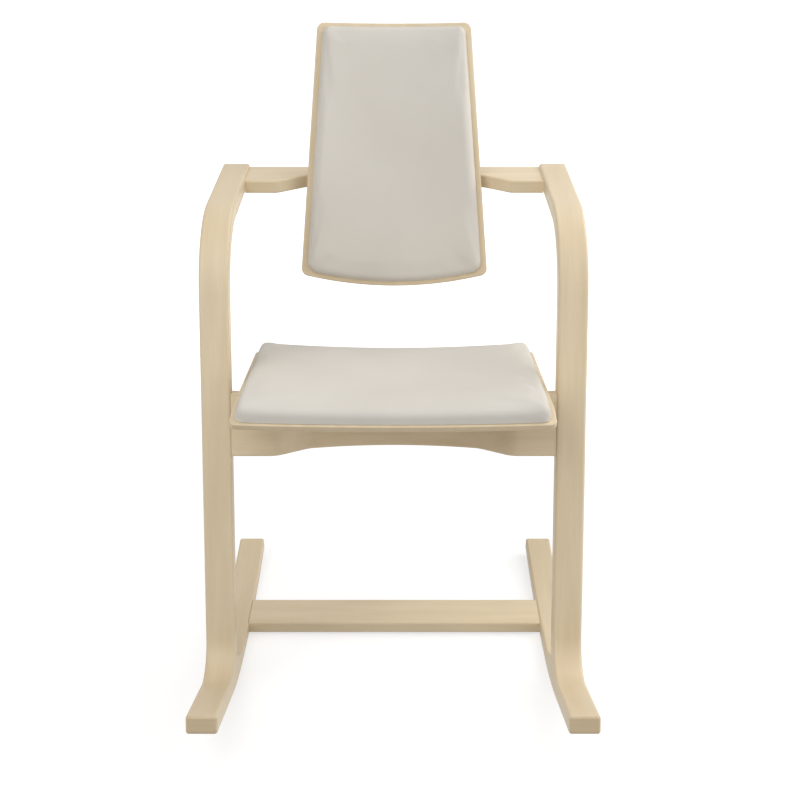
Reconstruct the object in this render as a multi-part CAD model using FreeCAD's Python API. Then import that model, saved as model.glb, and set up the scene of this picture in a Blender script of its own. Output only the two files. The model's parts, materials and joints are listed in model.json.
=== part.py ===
import FreeCAD, Part
import math
import os

# A rocking chair of bent laminated wood with an upholstered seat and a sprung, tilting backrest.
# Millimetres and degrees. X runs across the chair, Y to its rear and Z up.
# The pieces are drawn with the lowest point of the runners at the origin and the seat level. The
# whole chair is then rolled back on its runners until its weight is over the point that it stands on.

# Side frames: one bent strip is the arm, the leg and the front foot
chair_width = 560.0
strip_width = 43.0
strip_thickness = 26.0
arm_length = 298.6
arm_rise = 9.9
knuckle_radius = 139.0
leg_length = 665.0
leg_lean = 9.78
ankle_radius = 50.0
ankle_front = 67.0
foot_length = 185.0
foot_rise = 12.1
edge_round = 4.0
end_round = 5.0

# Runners: the foot's straight underside, a toe curve and a long rocker arc
toe_start = 52.6
rocker_radius = 1450.0
rocker_sweep = 14.1
runner_thickness = 22.5
crotch_start = 25.0
crotch_rise = 27.0
scarf_heel = 25.0
glue_line = 0.1

# Floor stretcher between the runners
stretcher_angle = 5.38
stretcher_depth = 71.0
stretcher_thickness = 19.0
stretcher_lift = 3.4
board_round = 3.0

# Seat board: level, dished across, dropped at its front lip and a gap away from the legs
seat_height = 452.0
seat_gap = 14.25
seat_rear = 212.0
seat_front = -121.0
seat_thickness = 10.0
seat_dish = 5.0
lip_radius = 111.0
lip_angle = 28.0
seat_corner = 9.0
panel_round = 2.0

# Seat rail: an upright board between the legs, bent rearwards in its middle
rail_height = 89.8
rail_thickness = 20.0
rail_setback = 2.0
rail_flat_length = 54.5
rail_curve_run = 64.0
rail_bow_slope = 12.6
rail_recess = 47.5
rail_bend_radius = 35.0
bedding = 0.1

# Back rail: a flat board between the arms with a recess in its front edge, as wide as the back board
back_rail_depth = 78.0
back_rail_thickness = 21.0
back_rail_drop = 5.5
back_rail_side_gap = 2.2
back_rail_curve_run = 50.0
back_rail_bow_slope = 13.0
back_rail_recess = 46.0
back_rail_bend_radius = 15.0

# Back board: a tapered panel, hollow towards the sitter, measured from a line across it near its pivot
back_recline = 10.0
back_above = 235.5
back_below = 158.5
back_half_top = 120.5
back_half_bottom = 149.5
back_bulge = 19.0
back_thickness = 10.0
back_hollow_radius = 650.0
back_corner = 12.0

# Pads: a thin panel, foam and a cover on each board
cover_thickness = 1.5
pad_clearance = 0.3
pad_panel_thickness = 4.0
pad_panel_inset = 16.0
pad_corner = 10.0
pad_draw = 4.0
pad_roll = 6.0
pad_root = 8.0
seat_pad_margin = 8.5
seat_pad_front_margin = 4.0
seat_pad_side = 22.5
seat_pad_crown = 14.0
back_pad_margin = 9.0
back_pad_top_margin = 6.0
back_pad_bottom_margin = 8.0
back_pad_side = 14.0
back_pad_crown = 21.0

# Knock-down fittings: bolts from the outer faces into barrel nuts in the rails
bolt_radius = 3.0
bolt_hole_radius = 3.5
bolt_head_radius = 6.5
bolt_head_height = 3.5
bolt_head_sink = 4.0
bolt_head_room = 0.3
socket_share = 0.5
socket_depth = 2.0
barrel_radius = 5.0
barrel_inset = 14.0
barrel_tail = 8.0
barrel_room = 0.1
thread_room = 0.05
rail_barrel_length = 15.0
flat_barrel_length = 14.0
rail_bolt_low = 22.0
rail_bolt_high = 30.0
back_bolt_rear = 18.0
back_bolt_pitch = 40.0
stretcher_bolt_pitch = 34.0

# Seat brackets behind the seat rail, with bolts into tee nuts in the seat board
bracket_width = 32.0
bracket_margin = 4.0
bracket_thickness = 4.0
bracket_reach = 110.0
bracket_drop = 70.0
bracket_web_reach = 70.0
bracket_web_drop = 50.0
bracket_bolt_first = 44.0
bracket_bolt_pitch = 50.0
bracket_screw_first = 24.0
bracket_screw_pitch = 32.0
tee_flange_radius = 9.0
tee_flange_height = 1.5
tee_barrel_radius = 3.9
tee_room = 0.1
seat_bolt_head_radius = 5.0
seat_bolt_head_height = 3.3

# Wood screws
screw_radius = 2.0
screw_head_radius = 4.0
screw_head_height = 2.4
screw_room = 0.05
bracket_screw_length = 20.0
pad_screw_bite = 3.0
leaf_screw_length = 14.0
base_screw_length = 16.0
pad_screw_half = 110.0
seat_screw_front = 90.0
seat_screw_rear = 55.0
back_screw_half = 72.0
back_screw_low = 95.0
back_screw_high = 165.0

# Backrest pivot: pins in ears on the back rail, rubber bushes in ears on the backrest
hinge_half = 70.0
pivot_forward = 19.5
pivot_height = 14.0
pivot_behind = 39.1
pivot_above = 22.5
pin_radius = 4.0
pin_room = 0.05
pin_end = 4.5
pin_head_radius = 6.0
pin_head_height = 2.5
clip_radius = 6.5
clip_height = 1.2
bush_radius = 6.0
bush_room = 0.05
bush_over = 0.5
leaf_ear_inner = 9.0
leaf_ear_thickness = 5.0
leaf_ear_radius = 8.5
leaf_half_width = 16.0
leaf_height = 38.0
leaf_low = 17.0
leaf_thickness = 2.5
leaf_screw_half = 10.0
leaf_screw_margin = 8.0
base_ear_inner = 18.0
base_ear_thickness = 3.0
base_ear_radius = 7.0
base_thickness = 2.5
base_rear = 9.5
base_depth = 18.0
base_screw_half = 28.0
base_wing = 36.0
block_half = 108.0
block_low = 12.0
block_height = 48.0
block_least = 3.0

# Densities in kilograms per cubic millimetre, which set the angle at which the chair balances
wood_density = 600e-9
cloth_density = 300e-9
steel_density = 7850e-9
rubber_density = 1200e-9

# Values that follow from the sizes above
half_width = chair_width / 2
half_inside = half_width - strip_width
seat_half = half_inside - seat_gap
far = 2 * chair_width
across = FreeCAD.Vector(1, 0, 0)
up = FreeCAD.Vector(0, 0, 1)
rearward = FreeCAD.Vector(0, 1, 0)


def sine(angle):
    return math.sin(math.radians(angle))


def cosine(angle):
    return math.cos(math.radians(angle))


def at(x, y, z):
    return FreeCAD.Vector(x, y, z)


def line(first, last):
    return Part.makeLine(first, last)


def arc(first, middle, last):
    return Part.Arc(first, middle, last).toShape()


def face(edges):
    return Part.Face(Part.Wire(edges))


def polygon(points):
    return Part.Face(Part.makePolygon(points + points[:1]))


def rod(radius, length, start, way):
    return Part.makeCylinder(radius, length, start, way)


def block(x, y, z):
    """A box between three pairs of limits."""
    return Part.makeBox(x[1] - x[0], y[1] - y[0], z[1] - z[0], at(x[0], y[0], z[0]))


def mirrored(shape):
    return shape.mirror(at(0, 0, 0), across)


def pair(shape):
    return [shape, mirrored(shape)]


def tilted(shape, angle, y, z):
    """A shape drawn in its own upright frame, turned about X and moved to its place."""
    moved = shape.copy()
    moved.rotate(at(0, 0, 0), across, angle)
    moved.translate(at(0, y, z))
    return moved


def tilted_point(point, angle, y, z):
    turned_y = point.y * cosine(angle) - point.z * sine(angle)
    turned_z = point.y * sine(angle) + point.z * cosine(angle)
    return at(point.x, y + turned_y, z + turned_z)


# Side frame lines, from the arm's rear end forwards, down the leg and out along the foot

arm_way = at(0, -cosine(arm_rise), -sine(arm_rise))
leg_way = at(0, -sine(leg_lean), -cosine(leg_lean))
foot_way = at(0, -cosine(foot_rise), sine(foot_rise))


def inside(way):
    """The side of the strip that faces down on the arm and the foot and to the rear on the leg."""
    return at(0, -way.z, way.y)


foot_tangent = math.tan(math.radians(foot_rise))
ankle_run = ankle_front - toe_start + strip_thickness * sine(foot_rise)
ankle = at(0, -ankle_front, strip_thickness * cosine(foot_rise) + ankle_run * foot_tangent)
knuckle = ankle - leg_way * leg_length
arm_end = knuckle - arm_way * arm_length
foot_tip = ankle + foot_way * foot_length


def offset_corner(corner, before, after, distance):
    first, second = inside(before), inside(after)
    return corner + (first + second) * (distance / (1 + first.dot(second)))


def bend(corner, before, after, radius):
    """Start, middle and end of the arc that rounds a corner, and its centre."""
    half_turn = before.getAngle(after) / 2
    reach = radius * math.tan(half_turn)
    inward = (after - before).normalize()
    centre = corner + inward * (radius / math.cos(half_turn))
    return corner - before * reach, centre - inward * radius, corner + after * reach, centre


under_knuckle = offset_corner(knuckle, arm_way, leg_way, strip_thickness)
under_ankle = offset_corner(ankle, leg_way, foot_way, strip_thickness)
under_end = arm_end + inside(arm_way) * strip_thickness
under_tip = foot_tip + inside(foot_way) * strip_thickness
knuckle_bend = bend(knuckle, arm_way, leg_way, knuckle_radius)
ankle_bend = bend(ankle, leg_way, foot_way, ankle_radius)
inner_knuckle = bend(under_knuckle, arm_way, leg_way, knuckle_radius - strip_thickness)
outer_radius = ankle_radius + strip_thickness
outer_ankle = bend(under_ankle, leg_way, foot_way, outer_radius)
ankle_centre = outer_ankle[3]


def rocker_point(radius, angle):
    """A point on an arc about the rocker's centre, above the lowest point."""
    return at(0, radius * sine(angle), rocker_radius - radius * cosine(angle))


def ankle_point(radius, angle):
    """A point on an arc about the ankle's centre, by its angle in radians."""
    return ankle_centre + at(0, radius * math.cos(angle), radius * math.sin(angle))


def ankle_angle(point):
    return math.atan2(point.z - ankle_centre.z, point.y - ankle_centre.y)


def toe_edges():
    """The underside from the foot's tip to the lowest point."""
    start = at(0, -toe_start, 0) + foot_way * toe_start
    radius = toe_start / math.tan(math.radians(foot_rise / 2))
    middle = at(0, -radius * sine(foot_rise / 2), radius - radius * cosine(foot_rise / 2))
    return [line(under_tip, start), arc(start, middle, at(0, 0, 0))]


def rocker_edges():
    """The rocker arc, the rear tip and the runner's top, up to the leg's rear face."""
    top_radius = rocker_radius - runner_thickness
    tip_low = rocker_point(rocker_radius, rocker_sweep)
    tip_high = rocker_point(top_radius, rocker_sweep)
    crotch_angle = math.degrees(math.asin(crotch_start / top_radius))
    start = rocker_point(top_radius, crotch_angle)
    middle = rocker_point(top_radius, (crotch_angle + rocker_sweep) / 2)
    end_angle = math.asin((start.z + crotch_rise - ankle_centre.z) / outer_radius)
    end = ankle_point(outer_radius, end_angle)
    run = start.y - end.y
    radius = (run ** 2 + crotch_rise ** 2) / (2 * crotch_rise)
    half = math.asin(run / radius) / 2
    crotch = at(0, start.y - radius * math.sin(half), start.z + radius - radius * math.cos(half))
    leg_start = outer_ankle[0]
    bend_middle = ankle_point(outer_radius, (end_angle + ankle_angle(leg_start)) / 2)
    return [
        arc(at(0, 0, 0), rocker_point(rocker_radius, rocker_sweep / 2), tip_low),
        line(tip_low, tip_high),
        arc(tip_high, middle, start),
        arc(start, crotch, end),
        arc(end, bend_middle, leg_start),
    ]


def side_blank():
    """Strip and runner of the right side as one rounded solid, before they are parted."""
    edges = [
        line(arm_end, knuckle_bend[0]),
        arc(*knuckle_bend[:3]),
        line(knuckle_bend[2], ankle_bend[0]),
        arc(*ankle_bend[:3]),
        line(ankle_bend[2], foot_tip),
        line(foot_tip, under_tip),
    ]
    edges += toe_edges() + rocker_edges()
    edges += [
        line(outer_ankle[0], inner_knuckle[2]),
        arc(inner_knuckle[2], inner_knuckle[1], inner_knuckle[0]),
        line(inner_knuckle[0], under_end),
        line(under_end, arm_end),
    ]
    solid = face(edges).extrude(across * strip_width)
    solid.translate(across * half_inside)
    tips = [arm_end, under_end, foot_tip, under_tip]
    tips += [rocker_point(rocker_radius - depth, rocker_sweep) for depth in (0, runner_thickness)]
    corners = [e for e in solid.Edges if any(is_across(e, tip) for tip in tips)]
    solid = solid.makeFillet(end_round, corners)
    rims = [e for e in solid.Edges if e.BoundBox.XLength < 0.01]
    return solid.makeFillet(edge_round, rims)


def is_across(edge, point):
    """Does this edge run across the chair through a point of the side's outline?"""
    middle = edge.BoundBox.Center
    near = math.hypot(middle.y - point.y, middle.z - point.z) < 0.01
    return near and edge.BoundBox.XLength > strip_width / 2


def runner_space(gap):
    """The space behind the ankle's scarf, a gap away from it, in which the rear runner lies."""
    radius = outer_radius + gap
    heel_y = outer_ankle[2].y + scarf_heel + gap
    heel_angle = -math.acos((heel_y - ankle_centre.y) / radius)
    heel = ankle_point(radius, heel_angle)
    leg_angle = ankle_angle(outer_ankle[0])
    leg_start = ankle_point(radius, leg_angle)
    middle = ankle_point(radius, (heel_angle + leg_angle) / 2)
    rise = leg_length / 2
    high = leg_start + at(0, rise, rise)
    edges = [
        line(at(0, heel_y, -far), heel),
        arc(heel, middle, leg_start),
        line(leg_start, high),
        line(high, at(0, far, high.z)),
        line(at(0, far, high.z), at(0, far, -far)),
        line(at(0, far, -far), at(0, heel_y, -far)),
    ]
    return face(edges).extrude(across * far)


# Seat board and the layers that follow it

dish_radius = (seat_half ** 2 + seat_dish ** 2) / (2 * seat_dish)
lip_start = seat_front + lip_radius * sine(lip_angle)
seat_straight = seat_rear - lip_start
seat_run = seat_straight + lip_radius * math.radians(lip_angle)


def dish(x):
    """How far the seat lies below its side edges at this distance from its middle."""
    return math.sqrt(dish_radius ** 2 - x ** 2) - math.sqrt(dish_radius ** 2 - seat_half ** 2)


def seat_station(distance):
    """Point and upward normal on the seat's top at a distance from its rear edge."""
    if distance <= seat_straight:
        return at(0, seat_rear - distance, seat_height), up
    angle = (distance - seat_straight) / lip_radius
    drop = lip_radius - lip_radius * math.cos(angle)
    point = at(0, lip_start - lip_radius * math.sin(angle), seat_height - drop)
    return point, at(0, -math.sin(angle), math.cos(angle))


def seat_layer(low, high, half, rear_inset, front_inset):
    """A sheet between two heights over the seat's top, inset from its edges."""
    rear = at(0, seat_rear - rear_inset, seat_height)
    bend_start = seat_station(seat_straight)[0]
    last = seat_run - front_inset
    bend_middle = seat_station((seat_straight + last) / 2)[0]
    path = Part.Wire([line(rear, bend_start), arc(bend_start, bend_middle, seat_station(last)[0])])
    corners = [rear + at(x, 0, z - dish(half)) for x, z in
               ((-half, low), (half, low), (half, high), (-half, high))]
    section = Part.Wire([
        arc(corners[0], rear + up * (low - seat_dish), corners[1]),
        line(corners[1], corners[2]),
        arc(corners[2], rear + up * (high - seat_dish), corners[3]),
        line(corners[3], corners[0]),
    ])
    return path.makePipeShell([section], True, False)


def seat_space():
    """The room that the seat board takes, with all that is above it."""
    reach = strip_width
    return seat_layer(-seat_thickness - bedding, seat_height / 4, seat_half + reach, -reach, -reach)


def seat_board_blank():
    board = seat_layer(-seat_thickness, 0, seat_half, 0, 0)
    corners = [e for e in board.Edges if abs(e.Length - seat_thickness) < 0.01]
    board = board.makeFillet(seat_corner, corners)
    rims = [e for e in board.Edges if abs(e.Length - seat_thickness) > 0.5]
    return board.makeFillet(panel_round, rims)


def pad_section(points, crown):
    """A closed section: a straight root, two bulged sides and a crowned top."""
    first, first_side, first_top, last_top, last_side, last = points
    return Part.Wire([
        line(last, first),
        arc(first, first_side, first_top),
        arc(first_top, crown, last_top),
        arc(last_top, last_side, last),
    ])


def pad_stations(length):
    """Places along a pad, how far its edge draws in there and its share of the full height."""
    steps = ((0, 1.0, 0.4), (1, 0.3, 0.8), (3, 0.05, 0.94), (7, 0.0, 0.99), (14, 0.0, 1.0))
    first = [(step * pad_roll, draw * pad_corner, share) for step, draw, share in steps]
    last = [(length - place, draw, share) for place, draw, share in reversed(first)]
    return first + [(length / 2, 0.0, 1.0)] + last


def seat_pad_form(inset):
    """The seat pad's outer form, or one that lies an inset inside it, rooted in the board."""
    margin = seat_pad_margin + inset
    length = seat_run - margin - seat_pad_front_margin - inset
    sections = []
    for place, draw, share in pad_stations(length):
        centre, normal = seat_station(margin + place)
        half = seat_half - margin - draw
        side = seat_pad_side * share - inset
        crown = seat_pad_crown * share - inset
        outline = [(pad_draw, -pad_root - inset), (0, side / 2), (pad_roll, side)]
        right = [centre + across * (half - x) + normal * z for x, z in outline]
        left = [centre - across * (half - x) + normal * z for x, z in reversed(outline)]
        sections.append(pad_section(right + left, centre + normal * crown))
    return Part.makeLoft(sections, True, False)


# Rails

def recess_line(half_span, flat_half, bow_half, bow_slope, recess, radius, offset):
    """Points of a recessed edge from its right end to its middle, moved an offset along its normal."""
    slope = math.radians(bow_slope)
    run = flat_half - bow_half
    rise = recess - bow_half * math.tan(slope / 2)
    second_centre = (run + radius * math.sin(slope), rise - radius * math.cos(slope))
    gap = (second_centre[0], second_centre[1] - radius)
    turn = math.atan2(gap[1], gap[0]) + math.asin(2 * radius / math.hypot(*gap))
    marks = [(flat_half - half_span, 0.0, 0.0)]
    for heading in (0.0, turn / 2, turn):
        marks.append((radius * math.sin(heading), radius - radius * math.cos(heading), heading))
    for heading in (turn, (turn + slope) / 2, slope):
        along = second_centre[0] - radius * math.sin(heading)
        marks.append((along, second_centre[1] + radius * math.cos(heading), heading))
    marks.append((flat_half, recess, 0.0))
    return [at(flat_half - along + offset * math.sin(heading), depth + offset * math.cos(heading), 0)
            for along, depth, heading in marks]


def recess_edges(points):
    """The edge through those points and their mirror images, from right to left."""
    other = [at(-p.x, p.y, p.z) for p in points]
    return [
        line(points[0], points[1]),
        arc(*points[1:4]),
        line(points[3], points[4]),
        arc(*points[4:7]),
        arc(points[6], points[7], other[6]),
        arc(other[6], other[5], other[4]),
        line(other[4], other[3]),
        arc(other[3], other[2], other[1]),
        line(other[1], other[0]),
    ]


seat_under = seat_height - seat_thickness
rail_top = (seat_under - ankle.z) / cosine(leg_lean)
rail_low = rail_top - rail_height / cosine(leg_lean)
rail_rear = rail_setback + rail_thickness
rail_middle = rail_setback + rail_thickness / 2
rail_flat_half = half_inside - rail_flat_length
rail_bow_half = rail_flat_half - rail_curve_run


def in_leg(shape):
    """Places a shape drawn beside an upright leg, with the ankle at its origin."""
    return tilted(shape, -leg_lean, ankle.y, ankle.z)


def in_leg_point(x, y, z):
    return tilted_point(at(x, y, z), -leg_lean, ankle.y, ankle.z)


def seat_rail_blank():
    sizes = (half_inside, rail_flat_half, rail_bow_half, rail_bow_slope, rail_recess, rail_bend_radius)
    front = recess_line(*sizes, 0.0)
    rear = recess_line(*sizes, rail_thickness)
    edges = recess_edges(front)
    edges.append(line(at(-front[0].x, front[0].y, 0), at(-rear[0].x, rear[0].y, 0)))
    edges += recess_edges([at(-p.x, p.y, 0) for p in rear])
    edges.append(line(rear[0], front[0]))
    rail = face(edges).extrude(up * 3 * rail_height)
    rail.translate(at(0, rail_setback, rail_low - rail_height))
    rail = in_leg(rail)
    low = seat_under - rail_height
    rail = rail.cut(block((-far, far), (-far, far), (-far, low)))
    rims = [e for e in rail.Edges if e.BoundBox.ZMax < low + 0.01 and e.BoundBox.XLength > 0.01]
    return rail.makeFillet(board_round, rims).cut(seat_space())


def in_arm(shape):
    """Places a shape drawn on a level arm, with the arm's rear top edge at its origin."""
    return tilted(shape, arm_rise, arm_end.y, arm_end.z)


def in_arm_point(x, y, z):
    return tilted_point(at(x, y, z), arm_rise, arm_end.y, arm_end.z)


back_rail_low = -back_rail_drop - back_rail_thickness
back_rail_middle = -back_rail_drop - back_rail_thickness / 2


def back_half(z):
    """Half the back board's width at a height over the line that it is measured from."""
    taper = (back_half_bottom - back_half_top) / (back_above + back_below)
    return back_half_bottom - taper * (z + back_below)


def back_rail_blank():
    bow_half = back_half(0) + back_rail_side_gap
    flat_half = bow_half + back_rail_curve_run
    front = recess_line(half_inside, flat_half, bow_half, back_rail_bow_slope,
                        back_rail_recess, back_rail_bend_radius, 0.0)
    edges = recess_edges(front)
    rear_left = at(-half_inside, back_rail_depth, 0)
    rear_right = at(half_inside, back_rail_depth, 0)
    edges += [
        line(at(-front[0].x, front[0].y, 0), rear_left),
        line(rear_left, rear_right),
        line(rear_right, front[0]),
    ]
    rail = face(edges).extrude(up * back_rail_thickness)
    rims = [e for e in rail.Edges if e.BoundBox.ZLength < 0.01 and e.BoundBox.XLength > 0.01]
    rail = rail.makeFillet(board_round, rims)
    rail.translate(at(0, -back_rail_depth, back_rail_low))
    return in_arm(rail)


stretcher_foot = rocker_point(rocker_radius, stretcher_angle)
stretcher_middle = stretcher_lift + stretcher_thickness / 2


def in_runner(shape):
    """Places a shape drawn on a level runner, with the runner's underside at its origin."""
    return tilted(shape, stretcher_angle, stretcher_foot.y, stretcher_foot.z)


def in_runner_point(x, y, z):
    return tilted_point(at(x, y, z), stretcher_angle, stretcher_foot.y, stretcher_foot.z)


def stretcher_blank():
    depth = (-stretcher_depth / 2, stretcher_depth / 2)
    board = block((-half_inside, half_inside), depth, (stretcher_lift, stretcher_lift + stretcher_thickness))
    long_edges = [e for e in board.Edges if e.BoundBox.XLength > half_inside]
    return in_runner(board.makeFillet(board_round, long_edges))


# Backrest, drawn upright about a line across it, then reclined and hung on its pivot

hollow_y = -math.sqrt(back_hollow_radius ** 2 - back_half(0) ** 2)
hollow_depth = hollow_y + back_hollow_radius
block_rear = hollow_depth + back_thickness + block_least
pivot_y = -pivot_forward
pivot_z = -back_rail_drop + pivot_height
pivot = in_arm_point(0, pivot_y, pivot_z)
back_pivot = at(0, pivot_behind, pivot_above)
back_place = pivot - tilted_point(back_pivot, -back_recline, 0, 0)


def in_back(shape):
    return tilted(shape, -back_recline, back_place.y, back_place.z)


def back_front(x):
    """How far the back board's front face lies behind its own side edges."""
    return hollow_y + math.sqrt(back_hollow_radius ** 2 - x ** 2)


def back_outline(side_inset, top_inset, bottom_inset):
    """The back board's outline, inset, as a long prism from front to rear."""
    top = back_above - top_inset
    low = -back_below + bottom_inset
    high_half = back_half(top) - side_inset
    low_half = back_half(low) - side_inset
    low_right, low_left = at(low_half, -far, low), at(-low_half, -far, low)
    high_right, high_left = at(high_half, -far, top), at(-high_half, -far, top)
    edges = [
        arc(low_left, at(0, -far, low - back_bulge), low_right),
        line(low_right, high_right),
        line(high_right, high_left),
        line(high_left, low_left),
    ]
    prism = face(edges).extrude(rearward * 2 * far)
    corners = [e for e in prism.Edges if e.BoundBox.YLength > far]
    return prism.makeFillet(back_corner, corners)


def back_band(inner, outer):
    """A curved upright sheet between two depths behind the back board's front face."""
    low = at(0, hollow_y, -far)
    whole = rod(back_hollow_radius + outer, 2 * far, low, up)
    return whole.cut(rod(back_hollow_radius + inner, 2 * far, low, up))


def back_board_blank():
    board = back_band(0, back_thickness).common(back_outline(0, 0, 0))
    front = block((-far, far), (-back_hollow_radius / 2, far), (-far, far))
    board = board.common(front)
    rims = [e for e in board.Edges if not is_through(e)]
    return board.makeFillet(panel_round, rims)


def is_through(edge):
    """Does this edge only cross the thickness of the back board?"""
    return edge.Length < back_thickness + 0.5


def back_pad_form(inset):
    """The back pad's outer form, or one that lies an inset inside it, rooted in the board."""
    margin = back_pad_margin + inset
    top_end = back_above - back_pad_top_margin - inset
    low_end = -back_below + back_pad_bottom_margin + inset
    middle_half = back_half(0) - margin
    sections = []
    for place, draw, share in pad_stations(2 * middle_half):
        ratio = place / middle_half - 1
        front = back_front(ratio * middle_half)
        top = top_end - draw
        low = low_end + draw - back_bulge * (1 - ratio ** 2)
        side = front - back_pad_side * share + inset
        crown = front - back_pad_crown * share + inset
        outline = [(pad_draw, front + pad_root + inset), (0, (front + side) / 2), (pad_roll, side)]
        places = [(low + z, y) for z, y in outline]
        places += [(top - z, y) for z, y in reversed(outline)]
        points = [at(ratio * (back_half(z) - margin), y, z) for z, y in places]
        centre = (low + top) / 2
        sections.append(pad_section(points, at(ratio * (back_half(centre) - margin), crown, centre)))
    return Part.makeLoft(sections, True, False)


# Fasteners

def headed(radius, length, head_radius, head_height, seat, way):
    """A bolt or screw whose head sits on a point, with its shank along the way and a hexagon socket."""
    shank = rod(radius, length, seat, way)
    head = rod(head_radius, head_height, seat - way * head_height, way)
    socket = hexagon(head_radius * socket_share, socket_depth, seat - way * head_height, way)
    return head.fuse(shank).removeSplitter().cut(socket)


def hexagon(radius, depth, start, way):
    corners = [at(radius * cosine(60 * n), radius * sine(60 * n), 0) for n in range(6)]
    prism = polygon(corners).extrude(up * depth)
    prism.Placement = FreeCAD.Placement(start, FreeCAD.Rotation(up, way))
    return prism


def ring(outer, inner, length, start, way):
    return rod(outer, length, start, way).cut(rod(inner, length, start, way))


def side_bolt_length():
    return strip_width - bolt_head_sink + barrel_inset + barrel_tail


def side_bolt(point):
    """A bolt from the right outer face through the side and into a rail, at a point's Y and Z."""
    seat = at(half_width - bolt_head_sink, point.y, point.z)
    return headed(bolt_radius, side_bolt_length(), bolt_head_radius, bolt_head_height, seat, -across)


def side_bolt_hole(point):
    start = at(half_width - bolt_head_sink, point.y, point.z)
    shank = rod(bolt_hole_radius, side_bolt_length() + barrel_room, start, -across)
    return shank.fuse(rod(bolt_head_radius + bolt_head_room, far, start, across))


def barrel(point, length, mouth, way):
    """A barrel nut across a side bolt. Mouth is how far its hole's mouth lies from the bolt, along the way."""
    centre = at(half_inside - barrel_inset, point.y, point.z)
    body = rod(barrel_radius, length, centre + way * (mouth - length), way)
    return body.cut(rod(bolt_radius + thread_room, 2 * far, centre - across * far, across))


def barrel_hole(point, length, mouth, way):
    centre = at(half_inside - barrel_inset, point.y, point.z)
    start = centre + way * (mouth - length - barrel_room)
    return rod(barrel_radius + barrel_room, length + far, start, way)


rail_bolts = [in_leg_point(0, rail_middle, z) for z in (rail_low + rail_bolt_low, rail_top - rail_bolt_high)]
back_bolts = [in_arm_point(0, -back_bolt_rear - n * back_bolt_pitch, back_rail_middle) for n in (0, 1)]
stretcher_bolts = [in_runner_point(0, side * stretcher_bolt_pitch / 2, stretcher_middle) for side in (-1, 1)]
rail_normal = in_leg_point(0, 1, 0) - in_leg_point(0, 0, 0)
arm_down = in_arm_point(0, 0, -1) - in_arm_point(0, 0, 0)
runner_down = in_runner_point(0, 0, -1) - in_runner_point(0, 0, 0)
rail_barrels = (rail_barrel_length, rail_thickness / 2, rail_normal)
back_barrels = (flat_barrel_length, back_rail_thickness / 2, arm_down)
stretcher_barrels = (flat_barrel_length, stretcher_thickness / 2, runner_down)


def without(shape, tools):
    """A shape with holes cut on both sides of the chair."""
    cutters = [half for tool in tools for half in pair(tool)]
    return shape.cut(cutters)


def group(shapes):
    """The given solids and their mirror images, as one group."""
    return Part.makeCompound([half for shape in shapes for half in pair(shape)])


# Seat brackets and their fasteners

bracket_outer = seat_half - bracket_margin
bracket_middle = bracket_outer - bracket_width / 2
bracket_top = seat_under - dish(bracket_outer - bracket_width) - bedding
rail_back = in_leg_point(0, rail_rear, rail_top)
bracket_bolt_ys = [rail_back.y + bracket_bolt_first + n * bracket_bolt_pitch for n in (0, 1)]
bracket_screw_zs = [rail_top - bracket_screw_first - n * bracket_screw_pitch for n in (0, 1)]


def bracket_outline(reach, drop, thickness):
    """An angle under the seat and down the rail's rear face; it is filled where it has no thickness."""
    blank_top = seat_under + seat_dish
    drop_end = in_leg_point(0, rail_rear, rail_top - drop)
    top_start = in_leg_point(0, rail_rear, (blank_top - ankle.z + rail_rear * sine(leg_lean)) / cosine(leg_lean))
    outline = [top_start, at(0, rail_back.y + reach, blank_top)]
    low = bracket_top - bracket_thickness
    outline.append(at(0, rail_back.y + reach, low))
    if thickness:
        shift = rail_normal * thickness
        slope = math.tan(math.radians(leg_lean))
        corner_y = drop_end.y + shift.y + (low - drop_end.z - shift.z) * slope
        outline += [at(0, corner_y, low), drop_end + shift]
    outline.append(drop_end)
    return polygon(outline)


def seat_bracket():
    """The right bracket: a bent strap with an upright web in its middle."""
    strap = bracket_outline(bracket_reach, bracket_drop, bracket_thickness).extrude(across * bracket_width)
    strap.translate(across * (bracket_outer - bracket_width))
    web = bracket_outline(bracket_web_reach, bracket_web_drop, 0).extrude(across * bracket_thickness)
    web.translate(across * (bracket_outer - bracket_thickness))
    bracket = strap.fuse(web).removeSplitter().cut(seat_space())
    bolt_holes = [rod(bolt_hole_radius, far, at(bracket_middle, y, 0), up) for y in bracket_bolt_ys]
    screw_holes = [rod(screw_radius + screw_room, 2 * far, point - rail_normal * far, rail_normal)
                   for point in bracket_screw_points()]
    return bracket.cut(bolt_holes + screw_holes)


def bracket_screw_points():
    """Where the right bracket's screw heads sit, on the strap's rear face."""
    return [in_leg_point(bracket_middle, rail_rear + bracket_thickness, z) for z in bracket_screw_zs]


def bracket_screws():
    return [headed(screw_radius, bracket_screw_length, screw_head_radius, screw_head_height, point, -rail_normal)
            for point in bracket_screw_points()]


def bracket_screw_pilots():
    return [rod(screw_radius + screw_room, bracket_screw_length + screw_room, point, -rail_normal)
            for point in bracket_screw_points()]


seat_bolt_top = seat_height - dish(bracket_middle)
bracket_low = bracket_top - bracket_thickness


def seat_bolts():
    length = seat_bolt_top - tee_flange_height - bracket_low
    return [headed(bolt_radius, length, seat_bolt_head_radius, seat_bolt_head_height,
                   at(bracket_middle, y, bracket_low), up) for y in bracket_bolt_ys]


def tee_nuts():
    """Tee nuts let into the seat board's top."""
    nuts = []
    for y in bracket_bolt_ys:
        top = at(bracket_middle, y, seat_bolt_top - tee_room)
        flange = rod(tee_flange_radius, tee_flange_height, top, -up)
        nut = flange.fuse(rod(tee_barrel_radius, seat_thickness - 2 * tee_room, top, -up)).removeSplitter()
        nuts.append(nut.cut(rod(bolt_radius + thread_room, far, top + up, -up)))
    return nuts


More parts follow.
